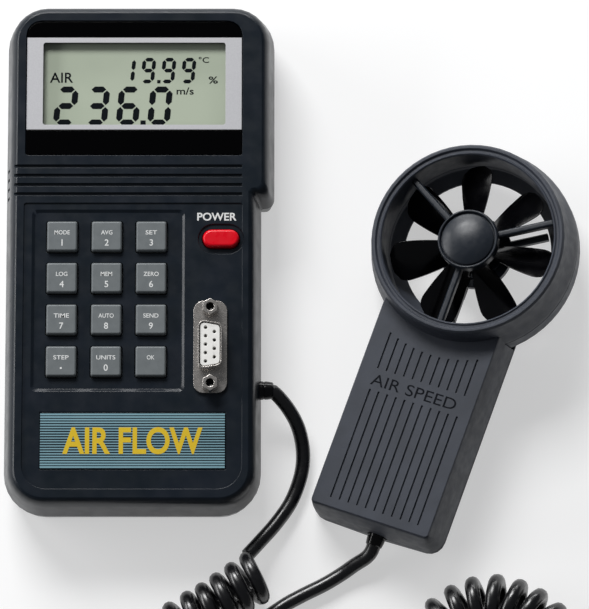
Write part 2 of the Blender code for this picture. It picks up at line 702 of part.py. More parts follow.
def make_probe_back():
    half = HANDLE_HALF
    shell = add_part("probe_back_shell", loft([
        handle_ring(half, HANDLE_END, -12.0, 5.0, z) for z in (-1.0, DUCT_SEAM - 3)
    ]), "probe_plastic", PROBE)
    neck = DUCT_OUTER - 1.0
    outside = turned([(neck, 14.0), (150.0, 14.0), (150.0, HANDLE_SEAM), (neck, HANDLE_SEAM)],
                     sides=DUCT_SIDES, hollow=True)
    facets = []
    for side in (1, -1):
        block = slab(-80 if side < 0 else -1, 1 if side < 0 else 80, -130, 60, -40, 0)
        facets.append(rotated(block, -side * KEEL_ANGLE, "Y"))
    deep = 2.0
    rise = math.tan(KEEL_ANGLE)
    pocket_half = half - 2.2
    pocket = loft([
        handle_ring(1.5, HANDLE_END + 2.2, -34.6, 1.0, deep + 1.5 * rise),
        handle_ring(pocket_half, HANDLE_END + 2.2, -34.6, 3.2, deep + pocket_half * rise),
        handle_ring(pocket_half, HANDLE_END + 2.2, -34.6, 3.2, 12.0),
    ])
    cut(shell, outside, pocket, duct_cutter(DUCT_BORE + 1.0, -3, DUCT_SEAM + 1), *facets)
    duct = turned([
        (DUCT_REAR, DUCT_BACK + 0.6), (DUCT_REAR, DUCT_BACK + 1.4), (DUCT_BORE, DUCT_BACK + 5.0),
        (DUCT_BORE, DUCT_SEAM), (DUCT_OUTER, DUCT_SEAM), (DUCT_OUTER, DUCT_BACK + 1.2),
        (DUCT_OUTER - 1.2, DUCT_BACK), (DUCT_REAR + 0.6, DUCT_BACK)],
        sides=DUCT_SIDES, hollow=True)
    pads = [cylinder(c, 3.6, 2.6, 5.7, sides=12) for c in PROBE_SCREWS]
    join(shell, duct, *pads)
    cut_again(shell, gland_hole_probe(),
              *[cylinder(c, 2.6, -1.0, 3.5, sides=14) for c in PROBE_SCREWS],
              *[cylinder(c, 1.35, 3.0, 7.0, sides=10) for c in PROBE_SCREWS])
    return shell


def make_probe_insides():
    add_part("sensor_board", slab(-13, 13, -82, -46, 8.2, 9.8), "circuit_board", PROBE)
    gland = turned([(0, 7.6), (2.7, 7.6), (3.1, 6.4), (3.1, 2.0), (3.6, 2.0), (3.6, 0), (0, 0)],
                   sides=20)
    seat = (0, HANDLE_END + 6.4, HANDLE_SEAM + GAP / 2)
    add_part("probe_gland", moved(rotated(gland, math.pi / 2, "X"), seat), "gloss_black", PROBE)
    add_screws("probe_screw", PROBE_SCREWS, 2.3, (2.2, 3.2), 1.05, 14.0, PROBE)


# ---------------------------------------------------------------- vane

def spoke(angle, reach, width, low, high):
    """A straight spoke from inside the hub out to a radius, its top edges chamfered."""
    edge = width * 0.22
    section = [(-width / 2, low), (width / 2, low), (width / 2, high - edge),
               (width / 2 - edge, high), (edge - width / 2, high), (-width / 2, high - edge)]
    rings = [[Vector((x, y, z)) for y, z in section] for x in (8.0, reach)]
    return rotated(loft(rings), angle, "Z")


def make_bridges():
    """The two three-spoke bridges that carry the vane's bearings in the duct."""
    front = add_part("front_bridge", turned([
        (0, 27.3), (8.9, 27.3), (9.1, 28.1), (9.5, 28.4), (9.9, 28.1), (10.1, 26.9), (9.8, 23.6),
        (8.6, 22.6), (0, 22.6)]), "gloss_black", PROBE)
    join(front, *[spoke(a, DUCT_BORE - GAP, 2.2, 23.0, 25.9) for a in SPOKE_ANGLES])
    cut(front, cylinder((0, 0), 3.3, 20.0, 25.2))
    add_part("hub_cap", turned([
        (0, 30.0), (2.2, 29.9), (4.4, 29.6), (6.4, 29.0), (7.9, 28.3), (8.55, 27.9), (8.55, 27.6),
        (0, 27.6)]), "gloss_black", PROBE)
    rear = add_part("rear_bridge", turned([
        (0, 12.3), (9.0, 12.3), (9.0, 11.2), (12.0, 11.2), (12.0, 8.8), (0, 8.8)]),
        "gloss_black", PROBE)
    join(rear, *[spoke(a, DUCT_REAR - GAP, 2.4, 9.2, 11.8) for a in SPOKE_ANGLES])
    cut(rear, cylinder((0, 0), 3.3, 9.9, 14.0))
    for name, low in (("front_bearing", 23.3), ("rear_bearing", 10.2)):
        race = [(1.5, low), (1.5, low + 1.6), (3.0, low + 1.6), (3.0, low)]
        add_part(name, turned(race, sides=20, hollow=True), "screw_steel", PROBE)
    add_part("pickup_sensor", slab(-2, 2, -16.5, -12.6, 12.1, 13.1), "window_black", PROBE)


def blade(angle):
    """One twisted blade, from inside the hub to a rounded tip."""
    rows, columns = 7, 3
    middle = (BLADE_BACK + BLADE_FRONT) / 2
    pitch_depth = 0.86 * (BLADE_FRONT - BLADE_BACK)
    root = BLADE_HUB - 1.0
    top, bottom = [], []
    for i in range(rows + 1):
        share = i / rows
        radius = root + share * (BLADE_TIP - root)
        tip_share = max(0.0, (share - 0.8) / 0.2)
        rounding = 0.45 + 0.55 * math.sqrt(1 - tip_share ** 2)
        width = (BLADE_ROOT_WIDTH + BLADE_FLARE * math.sin(share * math.pi / 2)) * rounding
        for j in range(columns + 1):
            across = j / columns - 0.5
            crown = 0.45 * (1 - 4 * across * across)
            turn = -across * width / radius
            x, y = radius * math.cos(turn), radius * math.sin(turn)
            z = middle + across * pitch_depth * rounding + crown
            top.append(Vector((x, y, z + BLADE_THICK / 2)))
            bottom.append(Vector((x, y, z - BLADE_THICK / 2)))
    bm = bmesh.new()
    wide = columns + 1
    upper = [bm.verts.new(p) for p in top]
    lower = [bm.verts.new(p) for p in bottom]
    for i in range(rows):
        for j in range(columns):
            a, b = i * wide + j, (i + 1) * wide + j
            bm.faces.new((upper[a], upper[b], upper[b + 1], upper[a + 1]))
            bm.faces.new((lower[a + 1], lower[b + 1], lower[b], lower[a]))
    rim = ([j for j in range(wide)] + [i * wide + columns for i in range(1, rows + 1)]
           + [rows * wide + j for j in range(columns - 1, -1, -1)]
           + [i * wide for i in range(rows - 1, 0, -1)])
    for a, b in zip(rim, rim[1:] + rim[:1]):
        bm.faces.new((upper[a], upper[b], lower[b], lower[a]))
    return rotated(bm, angle, "Z")


def make_impeller():
    hub = turned([
        (0, 21.8), (4.0, 21.7), (6.2, 21.0), (BLADE_HUB, 19.8), (BLADE_HUB, 13.3), (0, 13.3)])
    impeller = add_part("impeller", hub, "gloss_black", PROBE)
    join(impeller, *[blade(BLADE_PHASE + 2 * math.pi * i / BLADES) for i in range(BLADES)])
    cut(impeller, cylinder((0, 0), 1.5, 10.0, 24.0, sides=12))
    shaft = cylinder((0, 0), 1.2, 10.4, 24.8, sides=12)
    add_part("impeller_shaft", shaft, "screw_steel", PROBE)


# ---------------------------------------------------------------- cord

def make_cord():
    """Two plain leads and, between them, the curly stretch as one tube of its outer diameter."""
    add_tube("meter_lead", METER_LEAD, CORD_R, 7.0, "cord_jacket")
    add_tube("curly_cord", [(x, y, CURLY_R) for x, y in CURLY_AXIS], CURLY_R, 9.0, "cord_jacket")
    seat = PROBE_TO_WORLD @ Vector((0, HANDLE_END - 1.5, HANDLE_SEAM + GAP / 2))
    away = PROBE_TO_WORLD @ Vector((0, HANDLE_END - 5.0, HANDLE_SEAM + GAP / 2))
    add_tube("probe_lead", [seat, away, *PROBE_LEAD_END], CORD_R, 7.0, "cord_jacket")


PROBE_TO_WORLD = Matrix.LocRotScale(Vector((*PROBE_PLACE, 0.0)), probe_rotation(), None)

make_front_shell()
make_back_shell()
make_battery_door()
add_screws("case_screw", CASE_SCREWS, 2.7, (0.9, 2.4), 1.25, 14.0)
make_display()
make_keys()
make_power_button()
make_serial_port()
make_label()
make_insides()
make_probe_front()
make_probe_back()
make_probe_insides()
make_bridges()
make_impeller()
make_cord()
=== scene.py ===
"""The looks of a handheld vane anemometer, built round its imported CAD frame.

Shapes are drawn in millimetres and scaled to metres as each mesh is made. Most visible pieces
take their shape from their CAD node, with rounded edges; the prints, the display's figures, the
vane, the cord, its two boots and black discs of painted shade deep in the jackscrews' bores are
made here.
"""

import json
import math

import bmesh
import bpy
from mathutils import Matrix, Vector


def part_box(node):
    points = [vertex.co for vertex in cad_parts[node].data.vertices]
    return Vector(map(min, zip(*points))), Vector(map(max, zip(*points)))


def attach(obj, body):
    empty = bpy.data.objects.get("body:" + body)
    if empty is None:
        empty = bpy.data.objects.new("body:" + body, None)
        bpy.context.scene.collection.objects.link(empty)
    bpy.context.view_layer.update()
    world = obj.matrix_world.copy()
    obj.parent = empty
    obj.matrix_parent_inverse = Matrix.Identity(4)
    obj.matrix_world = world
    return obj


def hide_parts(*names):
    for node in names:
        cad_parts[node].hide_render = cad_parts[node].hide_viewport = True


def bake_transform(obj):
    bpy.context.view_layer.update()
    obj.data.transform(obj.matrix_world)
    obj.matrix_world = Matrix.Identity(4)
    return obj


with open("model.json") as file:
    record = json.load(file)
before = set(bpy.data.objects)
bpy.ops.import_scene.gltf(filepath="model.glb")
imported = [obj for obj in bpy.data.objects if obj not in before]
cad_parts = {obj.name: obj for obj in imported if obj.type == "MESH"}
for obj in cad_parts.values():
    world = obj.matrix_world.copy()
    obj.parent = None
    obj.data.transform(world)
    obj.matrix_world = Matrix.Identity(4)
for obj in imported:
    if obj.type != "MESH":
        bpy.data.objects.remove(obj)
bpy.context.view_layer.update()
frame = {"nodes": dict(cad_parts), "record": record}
MM = 0.001

# Cord, repeated from the CAD source
CORD_R = 2.35
CURLY_R = 9.1
METER_LEAD = [
    (41.7, -43.7, 12.55), (43.7, -44.0, 12.3), (48.0, -48.4, 9.4), (51.3, -53.6, 6.0),
    (53.0, -59.2, 3.6), (53.4, -65.2, 2.5), (52.3, -71.6, 2.4), (49.3, -79.2, 2.6),
    (44.6, -86.2, 3.8), (39.6, -92.2, 5.9), (35.4, -97.2, 8.6),
]
CURLY_AXIS = [
    (38.8, -103.9), (24.8, -113.7), (10.2, -123.5), (-3.0, -143.0), (-1.0, -168.0),
    (26.7, -185.0), (62.2, -189.0), (101.0, -182.0), (127.5, -164.0), (137.0, -145.5),
    (136.9, -129.6), (129.6, -118.0), (114.8, -112.4), (100.4, -118.0), (92.6, -130.6),
    (90.5, -146.0),
]
PROBE_LEAD_END = [
    (74.0, -97.6, 4.9), (70.2, -99.9, 3.7), (65.9, -102.8, 2.6), (60.2, -106.2, 2.4),
    (52.8, -109.9, 2.4), (46.0, -113.8, 2.4), (35.6, -121.6, 2.4), (26.8, -131.4, 2.4),
    (24.6, -143.4, 2.4), (31.4, -155.0, 2.4), (46.0, -161.6, 2.4), (62.0, -162.6, 2.4),
    (74.5, -159.0, 3.2), (81.4, -152.8, 6.2), (83.9, -146.8, 8.9),
]
COIL_TURNS = 57
COIL_POINTS = 20  # in each turn
COIL_SLACK = 0.05  # keeps the coil inside its outer radius

# Probe's own frame, as in the CAD source
PROBE_PLACE = (112.6, 1.8, 0.0)
PROBE_TURN = math.radians(-20.0)
KEEL_ANGLE = math.radians(12.5)
PROBE_TO_WORLD = (Matrix.Translation(PROBE_PLACE) @ Matrix.Rotation(PROBE_TURN, 4, "Z")
                  @ Matrix.Rotation(-KEEL_ANGLE, 4, "Y"))
HANDLE_END, HANDLE_FACE, LEAD_HEIGHT = -99.0, 21.0, 6.15


# ---------------------------------------------------------------- camera, floor and light

FLOOR_GLOW = 0.5
FLOOR_DROP = 0.2  # keeps the floor just clear of the undersides that rest on it
CAMERA_TARGET = (50.6, -15.15, 13.0)
CAMERA_DISTANCE = 1.486  # metres
CAMERA_ELEVATION = math.radians(79.3)
CAMERA_LENS = 268.1


def make_camera():
    """Almost overhead, leaning a little towards the meter's lower end, through a long lens."""
    data = bpy.data.cameras.new("camera")
    data.sensor_width = 36.0
    data.lens = CAMERA_LENS
    data.clip_end = 20.0
    camera = bpy.data.objects.new("camera", data)
    back = Vector((0, -math.cos(CAMERA_ELEVATION), math.sin(CAMERA_ELEVATION)))
    camera.location = Vector(CAMERA_TARGET) * MM + CAMERA_DISTANCE * back
    camera.rotation_euler = (math.pi / 2 - CAMERA_ELEVATION, 0, 0)
    bpy.context.scene.collection.objects.link(camera)
    bpy.context.scene.camera = camera


def make_floor():
    """White paper that glows a little, so that it stays light in the object's shade."""
    mesh = bpy.data.meshes.new("floor")
    bm = bmesh.new()
    bmesh.ops.create_grid(bm, x_segments=1, y_segments=1, size=6.0)
    bm.to_mesh(mesh)
    bm.free()
    floor = bpy.data.objects.new("floor", mesh)
    paper = plain_material("floor_white", (0.55, 0.55, 0.55), 0.9, specular=0.1)
    shader = paper.node_tree.nodes["Principled BSDF"]
    shader.inputs["Emission Color"].default_value = (1.0, 1.0, 1.0, 1.0)
    shader.inputs["Emission Strength"].default_value = FLOOR_GLOW
    mesh.materials.append(paper)
    floor.location.z = -FLOOR_DROP * MM
    bpy.context.scene.collection.objects.link(floor)


def add_light(name, place, aim, size, power):
    """A soft white rectangular light, place, aim and size in metres."""
    data = bpy.data.lights.new(name, "AREA")
    data.shape = "RECTANGLE"
    data.size, data.size_y = size
    data.energy = power
    light = bpy.data.objects.new(name, data)
    light.location = place
    light.rotation_euler = (Vector(aim) - Vector(place)).to_track_quat("-Z", "Y").to_euler()
    bpy.context.scene.collection.objects.link(light)


def make_lights():
    """A key light beyond the upper left, low ones to the left and beyond, and a dim world."""
    middle = (0.05, -0.03, 0.0)
    add_light("key", (-0.45, 1.25, 1.2), middle, (0.9, 0.6), 30.0)
    add_light("left_low", (-1.3, 0.24, 0.54), middle, (1.2, 0.3), 10.0)
    add_light("back_low", (0.05, 1.6, 0.32), middle, (1.8, 0.26), 12.0)
    world = bpy.data.worlds.new("studio")
    world.use_nodes = True
    background = world.node_tree.nodes["Background"]
    background.inputs["Color"].default_value = (0.9, 0.94, 1.0, 1.0)
    background.inputs["Strength"].default_value = 0.10
    bpy.context.scene.world = world
    bpy.context.scene.view_settings.view_transform = "Standard"


# ---------------------------------------------------------------- materials

def plain_material(name, colour, roughness, metallic=0.0, specular=0.5):
    made = bpy.data.materials.new(name)
    made.use_nodes = True
    shader = made.node_tree.nodes["Principled BSDF"]
    shader.inputs["Base Color"].default_value = (*colour, 1.0)
    shader.inputs["Roughness"].default_value = roughness
    shader.inputs["Metallic"].default_value = metallic
    shader.inputs["Specular IOR Level"].default_value = specular
    return made


class Surface:
    """A Principled material whose colour, roughness and relief take procedural detail."""

    def __init__(self, name, colour, roughness, metallic=0.0, specular=0.5):
        self.name = name
        self.material = plain_material(name, colour, roughness, metallic, specular)
        self.nodes = self.material.node_tree.nodes
        self.links = self.material.node_tree.links
        self.shader = self.nodes["Principled BSDF"]
        self.place = self.nodes.new("ShaderNodeTexCoord").outputs["Object"]

    def stretched(self, scale):
        mapping = self.nodes.new("ShaderNodeMapping")
        mapping.inputs["Scale"].default_value = scale
        self.links.new(self.place, mapping.inputs["Vector"])
        return mapping.outputs["Vector"]

    def noise(self, size, detail=3.0, stretch=None):
        """Noise whose features are about this size in millimetres."""
        texture = self.nodes.new("ShaderNodeTexNoise")
        texture.inputs["Scale"].default_value = 1.0 / (size * MM)
        texture.inputs["Detail"].default_value = detail
        place = self.stretched(stretch) if stretch else self.place
        self.links.new(place, texture.inputs["Vector"])
        return texture.outputs["Fac"]

    def ramp(self, value, stops):
        """A colour ramp over (position, colour) stops."""
        node = self.nodes.new("ShaderNodeValToRGB")
        elements = node.color_ramp.elements
        while len(elements) < len(stops):
            elements.new(0.5)
        for element, (position, colour) in zip(elements, stops):
            element.position = position
            element.color = (*colour, 1.0)
        self.links.new(value, node.inputs["Fac"])
        return node.outputs["Color"]

    def mottle(self, size, dark, light):
        """Base colour that wanders between two colours."""
        colour = self.ramp(self.noise(size), [(0.35, dark), (0.65, light)])
        self.links.new(colour, self.shader.inputs["Base Color"])
        return self

    def scuff(self, size, low, high, stretch=None):
        """Roughness that wanders between two values."""
        spread = self.nodes.new("ShaderNodeMapRange")
        spread.inputs["From Min"].default_value = 0.35
        spread.inputs["From Max"].default_value = 0.65
        spread.inputs["To Min"].default_value = low
        spread.inputs["To Max"].default_value = high
        self.links.new(self.noise(size, stretch=stretch), spread.inputs["Value"])
        self.links.new(spread.outputs["Result"], self.shader.inputs["Roughness"])
        return self

    def grain(self, size, depth):
        """Fine relief, its features and depth in millimetres."""
        bump = self.nodes.new("ShaderNodeBump")
        bump.inputs["Strength"].default_value = 1.0
        bump.inputs["Distance"].default_value = depth * MM
        self.links.new(self.noise(size, detail=2.0), bump.inputs["Height"])
        self.links.new(bump.outputs["Normal"], self.shader.inputs["Normal"])
        return self

    def maths(self, operation, first, second):
        """A sum or product of a node's output and another output or a number."""
        node = self.nodes.new("ShaderNodeMath")
        node.operation = operation
        self.links.new(first, node.inputs[0])
        if isinstance(second, (int, float)):
            node.inputs[1].default_value = second
        else:
            self.links.new(second, node.inputs[1])
        return node.outputs["Value"]

    def clear_coat(self, weight, roughness):
        self.shader.inputs["Coat Weight"].default_value = weight
        self.shader.inputs["Coat Roughness"].default_value = roughness
        return self


STRIPE_PITCH = 0.86
STRIPE_SWELL = 0.42  # how much the light stripes widen towards the top and the bottom


def label_stripes():
    """A printed film of fine teal stripes, the light ones widest at the top and the bottom."""
    film = Surface("label_film", (0.14, 0.28, 0.32), 0.32)
    low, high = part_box("label_plate")
    wave = film.nodes.new("ShaderNodeTexWave")
    wave.bands_direction = "Y"
    wave.inputs["Scale"].default_value = math.pi / (10.0 * STRIPE_PITCH * MM)
    film.links.new(film.place, wave.inputs["Vector"])
    place = film.nodes.new("ShaderNodeSeparateXYZ")
    film.links.new(film.place, place.inputs["Vector"])
    across = film.maths("SUBTRACT", place.outputs["Y"], (low.y + high.y) / 2)
    across = film.maths("DIVIDE", across, (high.y - low.y) / 2)
    swell = film.maths("MULTIPLY", film.maths("MULTIPLY", across, across), STRIPE_SWELL)
    colour = film.ramp(film.maths("ADD", wave.outputs["Fac"], swell),
                       [(0.52, (0.006, 0.014, 0.020)), (0.78, (0.21, 0.37, 0.43))])
    film.links.new(colour, film.shader.inputs["Base Color"])
    return film.scuff(6.0, 0.26, 0.36)


def make_materials():
    """One finish for each of the record's material slots, and one for each print."""
    grey_case = Surface("case_plastic", (0.006, 0.010, 0.016), 0.32, specular=0.36)
    grey_case.mottle(14.0, (0.005, 0.009, 0.014), (0.007, 0.011, 0.018))
    grey_case.scuff(5.0, 0.28, 0.36).grain(0.5, 0.006)
    probe = Surface("probe_plastic", (0.036, 0.041, 0.055), 0.50, specular=0.35)
    probe.mottle(9.0, (0.033, 0.038, 0.050), (0.040, 0.046, 0.061))
    probe.scuff(3.0, 0.44, 0.56).grain(0.55, 0.022)
    gloss = Surface("gloss_black", (0.001, 0.001, 0.0015), 0.16, specular=0.35)
    gloss.scuff(4.0, 0.12, 0.22).grain(2.5, 0.003)
    satin = Surface("satin_black", (0.012, 0.016, 0.023), 0.34, specular=0.45)
    satin.scuff(2.0, 0.32, 0.42).grain(0.4, 0.008)
    window = Surface("window_black", (0.0006, 0.0006, 0.0008), 0.10, specular=0.12)
    window.scuff(11.0, 0.08, 0.14)
    silver = Surface("silver_print", (0.52, 0.52, 0.54), 0.38)
    silver.mottle(0.3, (0.49, 0.49, 0.51), (0.54, 0.54, 0.56)).clear_coat(0.3, 0.1)
    glass = Surface("lcd_glass", (0.40, 0.45, 0.36), 0.22)
    glass.mottle(40.0, (0.37, 0.42, 0.33), (0.44, 0.49, 0.39)).clear_coat(0.3, 0.05)
    keys = Surface("key_grey", (0.13, 0.145, 0.15), 0.48)
    keys.mottle(3.0, (0.128, 0.143, 0.150), (0.142, 0.158, 0.165)).scuff(2.0, 0.42, 0.52)
    keys.grain(0.35, 0.006)
    red = Surface("button_red", (0.68, 0.002, 0.012), 0.30, specular=0.35)
    red.scuff(2.0, 0.24, 0.36).grain(0.6, 0.006)
    tin = Surface("connector_metal", (0.56, 0.53, 0.50), 0.26, metallic=0.85)
    tin.mottle(1.5, (0.52, 0.49, 0.46), (0.60, 0.57, 0.54))
    tin.scuff(0.8, 0.20, 0.32, (1, 6, 1)).grain(0.4, 0.002)
    white = Surface("insulator_white", (0.84, 0.83, 0.80), 0.42)
    white.mottle(2.0, (0.82, 0.81, 0.78), (0.88, 0.87, 0.84)).grain(0.5, 0.004)
    board = Surface("circuit_board", (0.02, 0.12, 0.05), 0.40)
    board.mottle(2.5, (0.012, 0.085, 0.035), (0.03, 0.15, 0.065)).grain(0.8, 0.02)
    silicone = Surface("silicone", (0.30, 0.31, 0.32), 0.7)
    silicone.mottle(4.0, (0.27, 0.28, 0.29), (0.33, 0.34, 0.35)).grain(0.7, 0.02)
    jacket = Surface("battery_jacket", (0.04, 0.05, 0.12), 0.35)
    jacket.mottle(9.0, (0.03, 0.04, 0.10), (0.06, 0.07, 0.15)).scuff(3.0, 0.3, 0.45)
    steel = Surface("screw_steel", (0.35, 0.35, 0.36), 0.30, metallic=1.0)
    steel.mottle(0.8, (0.30, 0.30, 0.31), (0.42, 0.42, 0.43)).scuff(0.5, 0.22, 0.4)
    cord = Surface("cord_jacket", (0.002, 0.002, 0.003), 0.28, specular=0.8)
    cord.scuff(3.0, 0.24, 0.34).grain(1.8, 0.006)
    made = [grey_case, probe, gloss, satin, window, silver, glass, keys, red, tin, white, board,
            silicone, jacket, steel, cord, label_stripes()]
    # The sunk word's colour is painted shade: its flat letters are dark for the shadow inside
    # real sunk letters.
    prints = {"white_print": (0.78, 0.79, 0.78), "yellow_print": (0.72, 0.50, 0.035),
              "display_ink": (0.004, 0.006, 0.008), "sunk_word_shade": (0.006, 0.007, 0.010)}
    for name, colour in prints.items():
        ink = Surface(name, colour, 0.5, specular=0.05)
        shade = tuple(0.88 * channel for channel in colour)
        made.append(ink.mottle(0.4, shade, colour))
    return {surface.name: surface.material for surface in made}


MATERIALS = make_materials()
SLOTS = {part["node"]: part["material_slot"] for part in frame["record"]["subparts"]}
FINISHES = {"front_bridge": "satin_black", "rear_bridge": "satin_black",
            "hub_cap": "satin_black"}  # where the piece looks unlike the rest of its slot
BODIES = {node: body for body, nodes in frame["record"]["behaviour"]["bodies"].items()
          for node in nodes}


# ---------------------------------------------------------------- shapes

def add_piece(name, mesh, material, body):
    """A piece that rides on a body, when one is given, and takes the named finish."""
    if isinstance(mesh, bmesh.types.BMesh):
        mesh = mesh_of(name, mesh)
    mesh.materials.clear()
    mesh.materials.append(MATERIALS[material])
    piece = bpy.data.objects.new(name, mesh)
    bpy.context.scene.collection.objects.link(piece)
    if body:
        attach(piece, body)
    return piece


SMOOTH_BELOW = math.radians(35)


def mesh_of(name, bm, place=None):
    """A mesh in metres from a bmesh in millimetres, round sides smooth and edges sharp."""
    if place:
        bmesh.ops.transform(bm, matrix=place, verts=bm.verts)
    bmesh.ops.scale(bm, vec=(MM, MM, MM), verts=bm.verts)
    mesh = bpy.data.meshes.new(name)
    bm.to_mesh(mesh)
    bm.free()
    mesh.shade_smooth()
    mesh.set_sharp_from_angle(angle=SMOOTH_BELOW)
    return mesh


SHARP_ANGLE = math.radians(26)  # edges that bend further are rounded
FLAT_ANGLE = math.radians(0.4)  # facets that bend less are merged
WELD = 0.005


def refined(node, name, width, segments=2):
    """A piece in a CAD node's shape, its facets merged and its edges rounded."""
    bm = bmesh.new()
    bm.from_mesh(frame["nodes"][node].data)
    bmesh.ops.remove_doubles(bm, verts=bm.verts, dist=WELD * MM)
    bmesh.ops.dissolve_limit(bm, angle_limit=FLAT_ANGLE, verts=bm.verts, edges=bm.edges)
    mesh = bpy.data.meshes.new(name)
    bm.to_mesh(mesh)
    bm.free()
    mesh.shade_smooth()
    piece = add_piece(name, mesh, FINISHES.get(node, SLOTS[node]), BODIES[node])
    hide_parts(node)
    bevel = piece.modifiers.new("rounded_edges", "BEVEL")
    bevel.width = width * MM
    bevel.segments = segments
    bevel.limit_method = "ANGLE"
    bevel.angle_limit = SHARP_ANGLE
    bevel.use_clamp_overlap = False
    flat = piece.modifiers.new("flat_faces", "WEIGHTED_NORMAL")
    flat.weight = 100
    return piece


def turned(profile, sides=96):
    """A profile of (radius, height) points turned about Z."""
    bm = bmesh.new()
    verts = [bm.verts.new((radius, 0, height)) for radius, height in profile]
    edges = [bm.edges.new(pair) for pair in zip(verts, verts[1:])]
    bmesh.ops.spin(bm, geom=verts + edges, axis=(0, 0, 1), angle=2 * math.pi, steps=sides,
                   use_merge=True)
    bmesh.ops.remove_doubles(bm, verts=bm.verts, dist=1e-4)
    bmesh.ops.recalc_face_normals(bm, faces=bm.faces)
    return bm


def extruded(bm, outlines, low, high):
    """Adds a flat plate for each outline of (x, y) points, between two heights."""
    for outline in outlines:
        face = bm.faces.new([bm.verts.new((x, y, low)) for x, y in outline])
        raised = bmesh.ops.extrude_face_region(bm, geom=[face])["geom"]
        top = [v for v in raised if isinstance(v, bmesh.types.BMVert)]
        bmesh.ops.translate(bm, vec=(0, 0, high - low), verts=top)
    bmesh.ops.recalc_face_normals(bm, faces=bm.faces)


def stamp(bm, words, box, height, weight=0.0, depth=0.03, stretch=True):
    """Adds words as thin raised letters that fill a box (left, right, bottom, top).

    Without the stretch they fill its height, and stand in its middle at their own width.
    """
    text = bpy.data.curves.new("words", "FONT")
    text.body = words
    text.offset = weight
    text.extrude = 0.5
    text.resolution_u = 6
    holder = bpy.data.objects.new("words", text)
    bpy.context.scene.collection.objects.link(holder)
    view = bpy.context.evaluated_depsgraph_get()
    mesh = bpy.data.meshes.new_from_object(holder.evaluated_get(view))
    bpy.data.objects.remove(holder)
    low = Vector([min(v.co[i] for v in mesh.vertices) for i in range(3)])
    high = Vector([max(v.co[i] for v in mesh.vertices) for i in range(3)])
    left, right, bottom, top = box
    tall = (top - bottom) / (high.y - low.y)
    wide = (right - left) / (high.x - low.x)
    if not stretch:
        wide = tall
        left = (left + right - wide * (high.x - low.x)) / 2
    scale = Matrix.Diagonal((wide, tall, depth / (high.z - low.z), 1.0))
    mesh.transform(Matrix.Translation((left, bottom, height)) @ scale @ Matrix.Translation(-low))
    bm.from_mesh(mesh)
    bpy.data.meshes.remove(mesh)


def millimetres(node):
    """A CAD node's box as left, right, bottom, top and its top height."""
    low, high = (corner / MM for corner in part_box(node))
    return low.x, high.x, low.y, high.y, high.z


# ---------------------------------------------------------------- meter

EDGES = {
    "front_shell": 0.12, "back_shell": 0.3, "battery_door": 0.2, "window_panel": 0.12,
    "display_bezel": 0.06, "power_button": 0.25, "serial_port_flange": 0.12,
    "serial_port_insulator": 0.15, "jackscrew_upper": 0.18, "jackscrew_lower": 0.18,
    "label_plate": 0.05, "lcd_glass": 0.1, "meter_gland": 0.2, "probe_gland": 0.2,
    "probe_front_shell": 0.12, "probe_back_shell": 0.14, "front_bridge": 0.15,
    "rear_bridge": 0.15, "hub_cap": 0.1,
}


def make_shaped_pieces():
    """The pieces whose shape is the CAD's, each with its edges rounded by a few tenths."""
    for node, width in EDGES.items():
        refined(node, f"{node}_fine", width)
    for number in range(1, 13):
        refined(f"key_{number:02d}", f"key_cap_{number:02d}", 0.2, segments=3)


def finish_hidden_nodes():
    """Each CAD node takes its slot's finish; those that no piece replaces show it."""
    for node, cad in frame["nodes"].items():
        cad.data.materials.clear()
        cad.data.materials.append(MATERIALS[SLOTS[node]])


# Profiles of (radius, height) points: a boot from its wide end, a disc of painted shade from its
# screw's top
BOOT_PROFILE = [(2.38, 0.0), (3.0, 0.0), (3.0, 0.8), (2.72, 2.6), (2.38, 2.9), (2.38, 0.0)]
BORE_SHADE_PROFILE = [(0.0, -1.1), (0.9, -1.1), (1.33, -0.8), (1.33, -1.4), (0.0, -1.4)]
METER_BOOT_BACK, PROBE_BOOT_OUT = 0.9, 0.6  # from the lead's start, from the handle's end


def make_boots():
    """A short tapered sleeve over each lead where it leaves its gland."""
    quarter = math.pi / 2
    x, y, z = METER_LEAD[0]
    at_meter = (Matrix.Translation((x - METER_BOOT_BACK, y, z))
                @ Matrix.Rotation(quarter, 4, "Y"))
    end = (0, HANDLE_END - PROBE_BOOT_OUT, LEAD_HEIGHT)
    at_probe = PROBE_TO_WORLD @ Matrix.Translation(end) @ Matrix.Rotation(quarter, 4, "X")
    for body, place in (("meter", at_meter), ("probe", at_probe)):
        name = f"{body}_boot"
        boot = mesh_of(name, turned(BOOT_PROFILE, 48), place=place)
        add_piece(name, boot, "gloss_black", body)


def make_bore_shades():
    """Black discs deep in the two jackscrews' bores: painted shade, standing in for the shadow
    there, as the bores' own metal is not black.
    """
    for node in ("jackscrew_upper", "jackscrew_lower"):
        left, right, bottom, top, height = millimetres(node)
        middle = Matrix.Translation(((left + right) / 2, (bottom + top) / 2, height))
        # Each disc is painted shade: the threaded hole is metal and looks dark only from its
        # shadow.
        bore_shade = mesh_of(f"{node}_bore", turned(BORE_SHADE_PROFILE, 40), place=middle)
        add_piece(f"{node}_bore", bore_shade, "window_black", "meter")


# ---------------------------------------------------------------- prints

# The strokes of a seven-segment figure: a is the top, then clockwise, and g is the middle
SEGMENT_GAP = 0.16  # between strokes, as a share of their width
SEGMENTS = {"0": "abcdef", "1": "bc", "2": "abged", "3": "abgcd", "6": "afgecd", "9": "abcdfg"}


